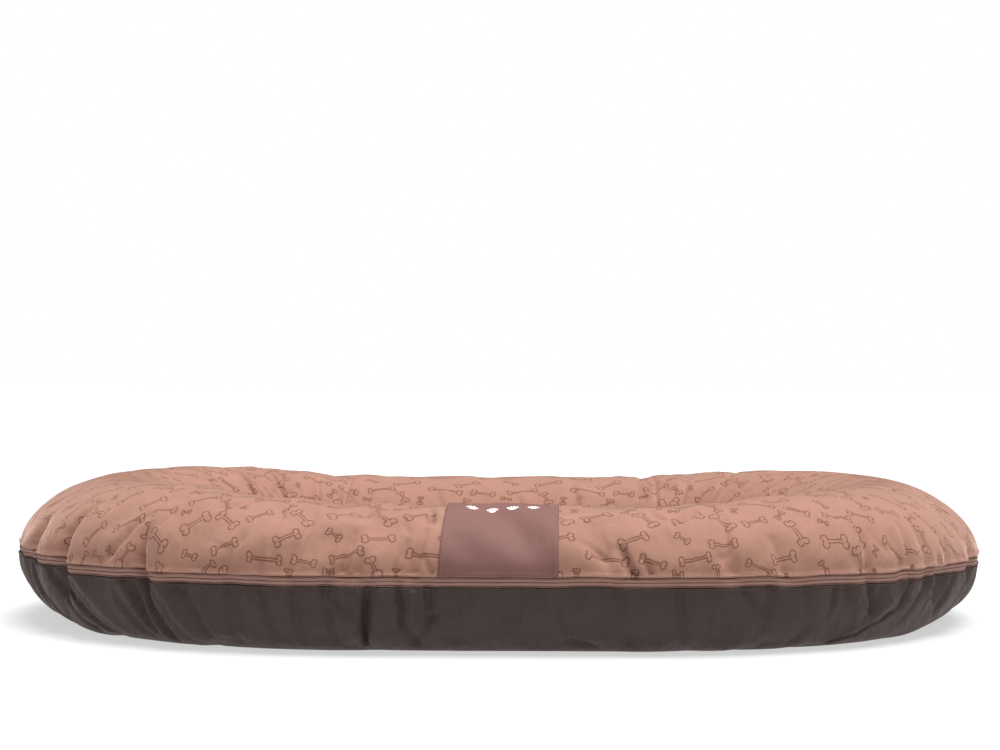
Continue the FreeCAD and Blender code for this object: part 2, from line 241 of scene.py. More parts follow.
def simulateCover():
    # the cut panels are blown up like a stuffed cushion, held at the inner seam, on the
    # floor and along the straight back of the zip, where the slider runs
    lumps = np.zeros((rows, columns))
    for k in range(cushion["lumps"]):
        wave = 2 * math.pi / rng.uniform(0.06, 0.16)
        way = rng.uniform(0, 2 * math.pi)
        spot = drawn @ np.array([math.cos(way), math.sin(way), math.cos(3 * way)])
        lumps += np.sin(wave * spot + rng.uniform(0, 6.28)) / math.sqrt(cushion["lumps"])
    outward = np.stack([outX + 0 * lumps, outY + 0 * lumps, (drawn[..., 2] > 0.01) * 1.0], -1)
    start = drawn + outward * lumps[..., None] * cushion["lumpHeight"] * mm
    mesh = bpy.data.meshes.new("cushionCloth")
    mesh.from_pydata(start.reshape(-1, 3).tolist(), [], gridFaces(rows, columns).tolist())
    cloth = bpy.data.objects.new("cushionCloth", mesh)
    scene.collection.objects.link(cloth)
    cloth.shape_key_add(name="Basis")
    cut = cloth.shape_key_add(name="cut")
    cut.data.foreach_set("co", cutShape.reshape(-1))
    cut.value = 0
    held = np.zeros((rows, columns), bool)
    held[:2] = True
    held[seamRow] = True
    held[-1] = True
    held[zipRow:hemRow + 1, np.abs(outAngle - math.pi / 2) < 1e-6] = True
    pins = cloth.vertex_groups.new(name="held")
    pins.add([int(v) for v in np.nonzero(held.reshape(-1))[0]], 1, "REPLACE")
    deselectAll()
    bpy.ops.mesh.primitive_plane_add(size=3)
    ground = bpy.context.object
    ground.modifiers.new("Collision", "COLLISION")
    ground.collision.thickness_outer = 1 * mm
    modifier = cloth.modifiers.new("Cloth", "CLOTH")
    settings = modifier.settings
    settings.quality = 5
    settings.mass = 0.15
    settings.tension_stiffness = 30
    settings.compression_stiffness = 30
    settings.shear_stiffness = 8
    settings.bending_stiffness = 0.5
    settings.use_pressure = True
    settings.uniform_pressure_force = cushion["pressure"]
    settings.vertex_group_mass = "held"
    settings.rest_shape_key = cut
    settings.effector_weights.gravity = 0
    modifier.collision_settings.distance_min = 1 * mm
    modifier.point_cache.frame_end = cushion["frames"]
    for frameNumber in range(1, cushion["frames"] + 1):
        scene.frame_set(frameNumber)
    settled = cloth.evaluated_get(bpy.context.evaluated_depsgraph_get())
    co = np.empty(rows * columns * 3)
    settled.data.vertices.foreach_get("co", co)
    bpy.data.objects.remove(cloth)
    bpy.data.objects.remove(ground)
    scene.frame_set(1)
    return co.reshape(rows, columns, 3)


def blur(grid, size, axis):
    # gaussian mean of a few steps; round the outline it wraps, along a section it doesn't
    reach = int(3 * size) + 1
    offsets = np.arange(-reach, reach + 1)
    weights = np.exp(-0.5 * (offsets / size) ** 2)
    weights /= weights.sum()
    places = np.arange(grid.shape[axis])
    total = 0
    for offset, weight in zip(offsets, weights):
        if axis == 1:
            total = total + weight * np.roll(grid, -offset, axis=1)
        else:
            total = total + weight * grid[np.clip(places + offset, 0, len(places) - 1)]
    return total


def settledShape():
    # the broad part of what the cloth moved is taken out, the dents and folds stay
    moved = simulateCover() - drawn
    wide = cushion["broad"] / cushion["step"]
    broad = blur(blur(moved, wide, 1), 0.5 * wide, 0)
    calm = np.exp(-((np.arange(rows) - (zipRow + hemRow) / 2) / 2.5) ** 2)[:, None, None]
    dents = (moved - broad) * (cushion["keep"] + (cushion["keepZip"] - cushion["keep"]) * calm)
    # the ends keep less of the dents, so that their outline stays round
    roundEnd = smoothStep(0.35, 0.55, np.abs(edgeX))[None, :, None]
    upper = (np.arange(rows) > hemRow)[:, None, None]
    rightEnd = smoothStep(0.3, 0.5, edgeX)[None, :, None]
    dents = dents * (1 - 0.75 * roundEnd * upper) * (1 - 0.6 * rightEnd)
    dents[seamRow] = 0
    dents[zipRow:hemRow + 1, np.abs(outAngle - math.pi / 2) < 1e-6] = 0
    return drawn + dents


shape = settledShape()
print("cushion simulated")


def finerGrid(grid, times, axis):
    # smooth curves through the grid's points, closed round the outline
    grid = np.moveaxis(grid, axis, 0)
    if axis == 1:
        before, here, there, after = (np.roll(grid, k, 0) for k in (1, 0, -1, -2))
    else:
        padded = np.concatenate([2 * grid[:1] - grid[1:2], grid, 2 * grid[-1:] - grid[-2:-1]])
        before, here, there, after = padded[:-3], padded[1:-2], padded[2:-1], padded[3:]
    parts = []
    for k in range(times):
        t = k / times
        parts.append(0.5 * (
            2 * here + (there - before) * t + (2 * before - 5 * here + 4 * there - after) * t ** 2
            + (3 * here - before - 3 * there + after) * t ** 3))
    fine = np.stack(parts, 1).reshape(-1, *grid.shape[1:])
    if axis == 0:
        fine = np.concatenate([fine, grid[-1:]])
    return np.moveaxis(fine, 0, axis)


times = cushion["finer"]
surface = finerGrid(finerGrid(shape, times, 0), times, 1)
flatFine = finerGrid(finerGrid(flatReach, times, 0), times, 1)
centreX, outAngle, fromFront = outlineColumns(times)
outX, outY = np.cos(outAngle), np.sin(outAngle)
zipRow, hemRow, seamRow = zipRow * times, hemRow * times, seamRow * times
rowCount, columnCount = surface.shape[:2]
cutMap = np.stack([centreX + outX * flatFine, outY * flatFine], -1)


def normalsOf(grid):
    alongOutline = np.roll(grid, -1, 1) - np.roll(grid, 1, 1)
    alongSection = np.gradient(grid, axis=0)
    return unit(np.cross(alongOutline, alongSection))


# distance over the cloth from the middle of the zip: up over the rim, down into the base
sectionStep = np.linalg.norm(np.diff(drawn, axis=0), axis=-1).mean(1)
reachCoarse = np.concatenate([[0], np.cumsum(sectionStep)])
fromZip = np.interp(np.arange(rowCount) / times, np.arange(rows), reachCoarse)
fromZip -= (fromZip[zipRow] + fromZip[hemRow]) / 2
seamReach = fromZip[seamRow]


# creases: start and end as (along the zip from the middle of the front, over the cloth from
# the zip), then half width and depth in mm; plus depth goes in, minus stands out
creases = [
    # base, front
    ((-0.143, -0.088), (-0.141, -0.006), 2.8, 19), ((-0.129, -0.012), (-0.136, -0.082), 8, -6),
    ((-0.156, -0.015), (-0.160, -0.080), 9, -4), ((-0.108, -0.008), (-0.102, -0.055), 3.2, 9),
    ((-0.086, -0.084), (-0.104, -0.045), 5, 6), ((-0.090, -0.010), (-0.098, -0.055), 5, -5),
    ((-0.076, -0.008), (-0.076, -0.045), 4, 7), ((-0.070, -0.040), (-0.087, -0.075), 5, 5),
    ((-0.045, -0.010), (-0.036, -0.080), 10, 4), ((0.066, -0.030), (0.084, -0.075), 7, 4),
    ((0.104, -0.088), (0.080, -0.076), 6, 6), ((0.012, -0.015), (0.020, -0.085), 9, 4.5),
    ((0.128, -0.010), (0.144, -0.080), 9, 4.5), ((0.196, -0.010), (0.208, -0.080), 6, 5),
    ((-0.190, -0.009), (-0.178, -0.075), 6, 5), ((-0.225, -0.009), (-0.213, -0.085), 7, 5),
    ((-0.262, -0.008), (-0.246, -0.070), 6, 5), ((-0.300, -0.008), (-0.296, -0.085), 9, 4.5),
    ((0.250, -0.030), (0.262, -0.088), 10, 4), ((0.300, -0.008), (0.290, -0.075), 7, 4.5),
    ((0.045, -0.008), (0.050, -0.050), 6, 3.5), ((0.345, -0.008), (0.352, -0.060), 7, 3.5),
    # base, left end
    ((-0.413, -0.008), (-0.384, -0.092), 5, 15), ((-0.434, -0.010), (-0.410, -0.075), 5, 12),
    ((-0.385, -0.010), (-0.350, -0.080), 8, -5), ((-0.450, -0.030), (-0.415, -0.090), 8, 4),
    ((-0.355, -0.012), (-0.330, -0.075), 6, 5), ((-0.558, -0.006), (-0.484, -0.095), 5, 8),
    ((-0.520, -0.010), (-0.455, -0.085), 9, -3), ((-0.585, -0.006), (-0.525, -0.090), 5, 5),
    ((-0.643, -0.006), (-0.590, -0.085), 4.5, 7), ((-0.665, -0.006), (-0.630, -0.080), 5, 5),
    # base, right end
    ((0.505, -0.006), (0.490, -0.040), 3, 9), ((0.400, -0.092), (0.490, -0.040), 3, 9),
    ((0.470, -0.030), (0.410, -0.080), 9, -3), ((0.434, -0.006), (0.446, -0.055), 4, 8),
    ((0.540, -0.006), (0.500, -0.060), 5, 4), ((0.566, -0.004), (0.540, -0.050), 5, 4),
    ((0.610, -0.004), (0.580, -0.060), 5, 5), ((0.660, -0.004), (0.630, -0.060), 5, 4),
    ((0.385, -0.006), (0.380, -0.045), 4, 5), ((0.455, -0.006), (0.430, -0.060), 7, 3),
    # top, rising from the zip
    ((-0.558, 0.006), (-0.550, 0.070), 6, 9.1), ((-0.4145, 0.006), (-0.424, 0.072), 5.5, 11.7),
    ((-0.455, 0.020), (-0.425, 0.085), 6, 5.9), ((-0.643, 0.006), (-0.650, 0.050), 6, 5.2),
    ((-0.167, 0.006), (-0.155, 0.062), 5.5, 7.8), ((-0.150, 0.006), (-0.146, 0.035), 4, 5.2),
    ((-0.183, 0.008), (-0.181, 0.030), 4, 3.9), ((-0.090, 0.006), (-0.078, 0.065), 5.5, 7.8),
    ((-0.108, 0.008), (-0.098, 0.050), 4, 5.2), ((-0.070, 0.010), (-0.080, 0.030), 4, 3.9),
    ((-0.071, 0.085), (-0.074, 0.122), 4.5, 10.4), ((-0.060, 0.100), (-0.064, 0.125), 5, -3.9),
    ((0.150, 0.008), (0.136, 0.042), 5, 9.1), ((0.118, 0.030), (0.098, 0.050), 5, 4.5),
    ((0.168, 0.010), (0.160, 0.030), 4, 5.2), ((-0.225, 0.006), (-0.205, 0.095), 7, 5.2),
    ((-0.262, 0.006), (-0.258, 0.040), 5, 5.2), ((-0.300, 0.006), (-0.285, 0.050), 6, 4.5),
    ((-0.335, 0.010), (-0.330, 0.080), 8, 3.9), ((0.252, 0.030), (0.266, 0.100), 7, 5.9),
    ((0.205, 0.085), (0.235, 0.120), 6, 5.9), ((0.190, 0.100), (0.175, 0.125), 5, 5.2),
    ((0.320, 0.006), (0.314, 0.050), 7, 4.5), ((0.262, 0.008), (0.262, 0.035), 6, 3.9),
    ((0.432, 0.006), (0.440, 0.060), 5, 5.9), ((0.500, 0.006), (0.515, 0.060), 6, 5.2),
    ((-0.250, 0.090), (-0.262, 0.120), 6, 5.2), ((-0.330, 0.100), (-0.300, 0.130), 8, 3.9),
]

# the same inside the hollow at the back, along from the middle of the back
backCreases = [
    ((-0.262, 0.265), (-0.222, 0.160), 9, 6), ((-0.236, 0.240), (-0.204, 0.180), 9, -3),
    ((-0.430, 0.270), (-0.405, 0.160), 9, 8), ((-0.396, 0.265), (-0.375, 0.170), 9, -4),
    ((-0.520, 0.270), (-0.480, 0.160), 9, 7), ((0.106, 0.270), (0.098, 0.200), 8, 5),
    ((0.265, 0.270), (0.230, 0.155), 9, 7), ((0.240, 0.250), (0.204, 0.170), 9, -3.5),
    ((0.335, 0.270), (0.300, 0.155), 9, 6), ((0.440, 0.270), (0.400, 0.160), 9, 6),
    ((0.520, 0.270), (0.500, 0.160), 9, 6), ((-0.330, 0.260), (-0.300, 0.190), 9, 4),
    ((0.030, 0.280), (0.020, 0.230), 8, 3), ((-0.080, 0.280), (-0.090, 0.220), 8, 3),
]

# the zip line is drawn in here: where, how far in, how far the side to its left is lifted
pinches = [
    (-0.643, 9, 1.5), (-0.558, 13, 3), (-0.4145, 10, 1.5), (0.487, 3, -1.5), (0.538, 2.5, -1),
    (0.589, 3, -1), (0.680, 4, -1),
]


def wrapped(distance):
    return (distance + outlineLength / 2) % outlineLength - outlineLength / 2


puckers = {
    "gatherUp": 1.8,  # depth in mm of the gathers above the zip
    "gatherDown": 2.0,
    "seamFold": 5.5,  # and of the folds at the inner seam
    "wrinkles": 520,
    "baseHollows": 90,
}


def addPuckers():
    # short gathers along the zip, more of them round the ends; radial folds from the inner
    # seam up the slope of the hollow; and slight wrinkles all over
    more = []
    for side, most in ((1, puckers["gatherUp"]), (-1, puckers["gatherDown"])):
        place = -outlineLength / 2
        while place < outlineLength / 2:
            curved = 1.0 if 0.2 < abs(wrapped(place)) < outlineLength / 2 - 0.2 else 0.6
            size = rng.uniform(0.15, 1) ** 1.5 * curved
            if wrapped(place) > 0.3:
                size = 0.6 * size
            more.append((
                (place, side * 0.007),
                (place + rng.uniform(-0.012, 0.012), side * (0.015 + 0.05 * size)),
                rng.uniform(3.5, 8), most * size))
            place += rng.uniform(0.014, 0.055)
    place = -outlineLength / 2
    while place < outlineLength / 2:
        curved = 1.0 if 0.3 < abs(wrapped(place)) < outlineLength / 2 - 0.35 else 0.4
        size = rng.uniform(0.3, 1) * curved
        more.append((
            (place, seamReach),
            (place + rng.uniform(-0.03, 0.03) * curved, seamReach - 0.04 - 0.09 * size),
            rng.uniform(4, 7) + 5 * (1 - curved), puckers["seamFold"] * size))
        place += rng.uniform(0.024, 0.05) / curved ** 0.5
    for k in range(puckers["wrinkles"]):
        place = rng.uniform(-outlineLength / 2, outlineLength / 2)
        reach = rng.uniform(-0.08, seamReach)
        length = rng.uniform(0.012, 0.045)
        lean = rng.normal(0, 0.4)
        more.append((
            (place, reach), (place + length * math.sin(lean), reach + length * math.cos(lean)),
            rng.uniform(3.5, 8), rng.uniform(0.5, 2.2)))
    for k in range(puckers["baseHollows"]):
        # wide soft hollows in the dark base
        place = rng.uniform(-outlineLength / 2, outlineLength / 2)
        slant = rng.normal(0, 0.02)
        more.append(((place, -0.008), (place + slant, -rng.uniform(0.03, 0.085)),
                     rng.uniform(6, 14), rng.uniform(-4, 7)))
    for start, end, width, deep in backCreases:
        place = wrapped(outlineLength / 2 - start[0])
        more.append(((place, start[1]), (place + start[0] - end[0], end[1]), width, deep))
    return more


deepest = 14 * mm  # creases that cross run together softly and get no deeper than this


def creaseField():
    depth = np.zeros((rowCount, columnCount))
    underLabel = 1 - 0.85 * smoothStep(0.070, 0.058, np.abs(fromFront))
    for start, end, width, deep in creases + addPuckers():
        runS, runV = end[0] - start[0], end[1] - start[1]
        s = wrapped(fromFront - start[0])
        v = (fromZip - start[1])[:, None]
        near = np.abs(s) < abs(runS) + 6 * width * mm
        share = np.clip((s[near] * runS + v * runV) / (runS ** 2 + runV ** 2), 0, 1)
        awayS, awayV = s[near] - share * runS, v - share * runV
        # steep on one side and easy on the other, as cloth folds
        side = np.where(awayS * runV - awayV * runS > 0, 0.7, 1.45)
        off = np.hypot(awayS, awayV) / (width * mm * side)
        fade = 1 - 0.6 * share ** 2  # deep where it starts, running out where it ends
        depth[:, near] += deep * mm * fade * (1 - 0.4 * off ** 2) * np.exp(-off ** 2)
    depth = deepest * np.tanh(depth / deepest)
    settle = smoothStep(0, 0.012, surface[..., 2])  # the cloth on the floor stays flat
    return depth * underLabel * settle


def pinchField():
    inward = np.zeros(columnCount)
    lift = np.zeros(columnCount)
    for place, deep, rise in pinches:
        s = wrapped(fromFront - place)
        swell = 0.35 * np.exp(-((np.abs(s) - 0.032) / 0.02) ** 2)  # fuller on both sides of it
        inward += deep * mm * (np.exp(-(s / 0.010) ** 2) - swell)
        lift += -rise * mm * np.tanh(s / 0.006) * np.exp(-np.abs(s) / 0.045)
    return inward, lift


floorGap = 0.6 * mm
field = creaseField()
inward, lift = pinchField()
nearZip = np.exp(-(fromZip / 0.045) ** 2)[:, None]
surface = surface - normalsOf(surface) * field[..., None]
surface[..., 0] -= outX * inward * nearZip
surface[..., 1] -= outY * inward * nearZip
surface[..., 2] += lift * nearZip
straightBack = np.abs(outAngle - math.pi / 2) < 1e-6
surface[zipRow:hemRow + 1, straightBack, 1] = halfDepth
surface[..., 2] = np.maximum(surface[..., 2], floorGap)
normals = normalsOf(surface)
print("creases laid in")


# the zip's own line: its middle, the way up and the way out at every column
zipUp = unit(blur((surface[hemRow] - surface[zipRow])[None], 2, 1)[0])
zipMiddle = blur((surface[hemRow] + surface[zipRow])[None] / 2, 1, 1)[0]
zipMiddle[straightBack] = ((surface[hemRow] + surface[zipRow]) / 2)[straightBack]
zipOut = unit(np.cross(np.roll(zipMiddle, -1, 0) - np.roll(zipMiddle, 1, 0), zipUp))


def zipPoint(out, up):
    return zipMiddle + zipOut * out * mm + zipUp * up * mm


def makeMesh(name, points, faces, smooth=True):
    mesh = bpy.data.meshes.new(name)
    mesh.from_pydata(np.asarray(points).reshape(-1, 3).tolist(), [], [list(f) for f in faces])
    mesh.polygons.foreach_set("use_smooth", [smooth] * len(mesh.polygons))
    piece = bpy.data.objects.new(name, mesh)
    scene.collection.objects.link(piece)
    return piece


def setMap(piece, perPoint, name="cut"):
    mesh = piece.data
    index = np.empty(len(mesh.loops), int)
    mesh.loops.foreach_get("vertex_index", index)
    mesh.uv_layers.new(name=name).data.foreach_set("uv", np.asarray(perPoint)[index].reshape(-1))


def closeAcross(ring, first, flip):
    # quads between the two halves of the innermost ring, front to back
    half = ring // 2
    faces = []
    for i in range(half):
        quad = [first + i, first + i + 1, first + ring - i - 1, first + (ring - i) % ring]
        quad = list(dict.fromkeys(quad))
        faces.append(quad if flip else quad[::-1])
    return faces


def joinRings(low, high):
    # quads between two rings that aren't neighbours in the list
    ring = np.arange(columnCount)
    nextOne = (ring + 1) % columnCount
    return np.stack([low + ring, low + nextOne, high + nextOne, high + ring], -1).tolist()


outside = np.stack([outX, outY, 0 * outX], -1) * mm
down = np.array([0, 0, -1]) * mm


def levelRing(reach, rise, every=1):
    # a ring at one height, as far out as reach from the middle line
    x, y = outX[::every], outY[::every]
    return np.stack([centreX[::every] + x * reach, y * reach, 0 * x + rise], -1)


def wholeBed(piece, node):
    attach(piece, "bed")
    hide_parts(node)


# rim cover: rolled hem at the zip, over the crest, turned down at the inner seam
rimCloth = {
    "thick": 1.3,
    "lining": 4,  # the inner face is this far in, clear of the folds
    "seamTurns": [(3, 1.2), (9, 1.6)],  # down and out from the inner seam
    "hem": [(1.0, 8.6), (1.3, 7.2), (1.1, 6.0), (0.2, 5.5), (-0.7, 5.7)],  # out and up from the zip
}


def rimCover():
    outer = list(surface[hemRow + 1:seamRow + 1])
    maps = list(cutMap[hemRow + 1:seamRow + 1])
    hem = [zipPoint(*spot) for spot in rimCloth["hem"]]
    inside = surface - normals * rimCloth["lining"] * mm
    turned = [surface[seamRow] + down * a + outside * b for a, b in rimCloth["seamTurns"]]
    turnedBack = [p + outside * rimCloth["thick"] for p in turned[::-1]]
    lining = list(inside[hemRow + 4:seamRow - 3:8][::-1])
    liningMaps = list(cutMap[hemRow + 4:seamRow - 3:8][::-1])
    rings = hem[::-1] + outer + turned + turnedBack + lining
    ringMaps = [maps[0]] * len(hem) + maps + [maps[-1]] * 4 + liningMaps
    faces = tubeFaces(len(rings), columnCount)
    piece = makeMesh("rimCover", rings, faces)
    setMap(piece, np.concatenate(ringMaps))
    wholeBed(piece, "rim_cover")
    return piece


rimPiece = rimCover()


# centre cover: a low crowned panel that meets the rim at the seam
def centreCover():
    seam = surface[seamRow] - outside * 0.8
    turned = [seam + down * 9 - outside * 0.4, seam + down * 3 - outside * 0.3]
    outer = list(surface[seamRow + 1:])
    lining = list((surface - normals * 1.3 * mm)[seamRow + 4::8][::-1])
    rings = turned + outer
    faces = [list(f) for f in gridFaces(len(rings), columnCount)]
    faces += closeAcross(columnCount, (len(rings) - 1) * columnCount, True)
    start = len(rings) * columnCount
    inner = lining + [turned[0] - outside * 1.3]
    faces += [[a + start for a in f] for f in gridFaces(len(inner), columnCount)]
    faces += closeAcross(columnCount, start, False)
    faces += joinRings(start + (len(inner) - 1) * columnCount, 0)
    piece = makeMesh("centreCover", rings + inner, faces)
    flat = np.concatenate([p[:, :2] for p in rings + inner])
    setMap(piece, flat)
    wholeBed(piece, "centre_cover")
    return piece


centrePiece = centreCover()


# base cover: flat where it stands, round the foot and up to its hem under the zip
basePanel = {
    "thick": 1.5,
    "floorRings": [0.07, 0.16, 0.24],  # how far out from the middle line
    "hem": [(0.5, -8.2), (0.7, -7.3), (0.4, -6.6), (-0.5, -6.5), (-0.9, -7.4)],
}


def baseCover():
    hem = [zipPoint(*spot) for spot in basePanel["hem"]]
    thick = basePanel["thick"]
    floor = [levelRing(reach, floorGap) for reach in basePanel["floorRings"]]
    outer = floor + list(surface[:zipRow])
    lining = [p - down * thick for p in floor]
    lining += list((surface - normals * thick * mm)[4:zipRow - 3:6])
    rings = outer + hem
    faces = [list(f) for f in gridFaces(len(rings), columnCount)]
    faces += closeAcross(columnCount, 0, False)
    start = len(rings) * columnCount
    inner = lining[::-1]
    faces += [[a + start for a in f] for f in gridFaces(len(inner), columnCount)]
    faces += closeAcross(columnCount, start + (len(inner) - 1) * columnCount, True)
    faces += joinRings(start - columnCount, start)
    piece = makeMesh("baseCover", rings + inner, faces)
    flat = [p[:, :2] for p in floor] + list(cutMap[:zipRow]) + [cutMap[zipRow]] * len(hem)
    flat += [p[:, :2] for p in inner]
    setMap(piece, np.concatenate(flat))
    wholeBed(piece, "base_cover")
    return piece


basePiece = baseCover()
print("covers made")


# zip: two tapes, each folded over its coil, so the folds meet in a dark line
zipChain = {
    "coilPitch": 1.5,
    "coilIn": 2.9,  # the coils lie this far behind the folds
    "coilUp": 1.7,
    "upper": [  # each tape's section, as out from and up from the zip's middle
        (-2.6, 8.4), (-1.2, 6.2), (-1.0, 4.8), (-0.5, 3.8), (-0.05, 2.9), (0, 2.0), (-0.05, 1.1), (-0.4, 0.4),
        (-1.2, 0.12), (-1.8, 0.9), (-1.3, 2.0), (-1.6, 3.6), (-2.2, 4.8), (-3.3, 8.8),
    ],
    "lower": [
        (-1.2, -0.12), (-0.4, -0.4), (-0.05, -1.0), (0, -1.8), (-0.05, -2.5), (-0.5, -3.1), (-1.0, -3.6),
        (-1.1, -4.6), (-1.2, -5.8), (-1.4, -6.8), (-2.8, -9), (-3.5, -9.4), (-2.6, -6.8), (-2.1, -4.6),
        (-1.9, -3.6), (-1.3, -2.2), (-1.8, -0.9),
    ],
}


def ribbonRound(name, profile):
    rings = [zipPoint(*spot) for spot in profile]
    faces = tubeFaces(len(rings), columnCount)
    piece = makeMesh(name, rings, faces)
    along = np.linspace(0, outlineLength, columnCount, endpoint=False)
    up = np.array([spot[1] for spot in profile]) * mm
    setMap(piece, np.stack(np.broadcast_arrays(along[None, :], up[:, None]), -1).reshape(-1, 2))
    return piece


tapeUpper = ribbonRound("zipTapeUpper", zipChain["upper"][::-1])
tapeLower = ribbonRound("zipTapeLower", zipChain["lower"][::-1])
wholeBed(tapeUpper, "zip_tape_upper")
wholeBed(tapeLower, "zip_tape_lower")


def closedLine(points):
    return np.vstack([points, points[:1]])


def resample(line, spacing):
    # where points evenly spaced round a closed line fall among its columns
    closed = closedLine(line)
    along = np.concatenate([[0], np.cumsum(np.linalg.norm(np.diff(closed, axis=0), axis=1))])
    count = int(along[-1] / spacing)
    t = np.linspace(0, along[-1], count, endpoint=False)
    return np.interp(t, along, np.arange(len(closed)))


def sampleRound(values, where):
    low = np.floor(where).astype(int)
    part = (where - low)[:, None]
    return values[low % columnCount] * (1 - part) + values[(low + 1) % columnCount] * part


def zipCoil(name, height):
    # the wound nylon shows as close ribs: rings of two sizes, one pair for each turn
    sides = 8
    where = resample(zipMiddle, zipChain["coilPitch"] * mm / 2)
    where = where[:len(where) // 2 * 2]
    middle = sampleRound(zipPoint(-zipChain["coilIn"], height), where)
    out, up = sampleRound(zipOut, where), sampleRound(zipUp, where)
    radius = np.where(np.arange(len(where)) % 2, 0.95, 1.25) * mm
    rings = []
    for k in range(sides):
        turn = 2 * math.pi * k / sides
        rings.append(middle + (out * math.cos(turn) * 0.75 + up * math.sin(turn)) * radius[:, None])
    return makeMesh(name, rings, tubeFaces(sides, len(where)))


coilUpper = zipCoil("zipCoilUpper", zipChain["coilUp"])
coilLower = zipCoil("zipCoilLower", -zipChain["coilUp"])
wholeBed(coilUpper, "zip_coil_upper")
wholeBed(coilLower, "zip_coil_lower")


# thread: stitches of this length, one for each pitch, and how thick they show
stitch = {"length": 2.4, "pitch": 3.2, "thick": 0.32, "dipEnds": 0.35, "rise": 0.12}


def stitchAlong(name, points, outward):
    # a running stitch: one small rounded dash for each stitch, following the line
    along = np.concatenate([[0], np.cumsum(np.linalg.norm(np.diff(points, axis=0), axis=1))])
    count = int(along[-1] / (stitch["pitch"] * mm))
    starts = (np.arange(count) + 0.2) * along[-1] / count
    shapeAlong = np.array([0, 0.12, 0.5, 0.88, 1])
    shapeWide = np.array([0.35, 0.85, 1, 0.85, 0.35])
    sides = 6
    vertices, faces = [], []
    for begin in starts:
        spots = begin + shapeAlong * stitch["length"] * mm
        middle = np.stack([np.interp(spots, along, points[:, k]) for k in range(3)], -1)
        out = unit(np.stack([np.interp(spots, along, outward[:, k]) for k in range(3)], -1))
        side = unit(np.cross(middle[-1] - middle[0], out))
        first = len(vertices)
        for j in range(len(spots)):
            sink = (-stitch["dipEnds"] if j in (0, len(spots) - 1) else stitch["rise"]) * mm
            radius = stitch["thick"] * mm * shapeWide[j]
            for k in range(sides):
                turn = 2 * math.pi * k / sides
                around = (side[j] * math.cos(turn) + out[j] * math.sin(turn)) * radius
                vertices.append(middle[j] + out[j] * sink + around)
        for j in range(len(spots) - 1):
            for k in range(sides):
                a, b = first + j * sides + k, first + j * sides + (k + 1) % sides
                faces.append((a, b, b + sides, a + sides))
        faces.append(tuple(first + k for k in range(sides))[::-1])
        faces.append(tuple(first + (len(spots) - 1) * sides + k for k in range(sides)))
    return makeMesh(name, vertices, faces)


hemStitch = stitchAlong("hemStitch", closedLine(zipPoint(1.35, 7.4)), closedLine(zipOut))
tapeStitch = stitchAlong("tapeStitch", closedLine(zipPoint(-1.1, -5.2)), closedLine(zipOut))
for piece in (hemStitch, tapeStitch):
    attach(piece, "bed")
print("zip made")


# label: a satin patch sewn over the front of the rim
label = {
    "halfWidth": round(labelHigh[0], 4),
    "columns": 45,
    "over": 0.024,  # how far it reaches past the crest
    "hemUp": 7.8,  # its turned edge, from the zip's middle
    "hemTall": 1.6,
    "hemStand": (1.7, 2.1),
    "stand": 1.5,
    "thick": 0.8,
    "stitchInset": 3.2,
    "paws": 4,  # printed in a row
    "pawPitch": 24,
    "pawDrop": 27,
}


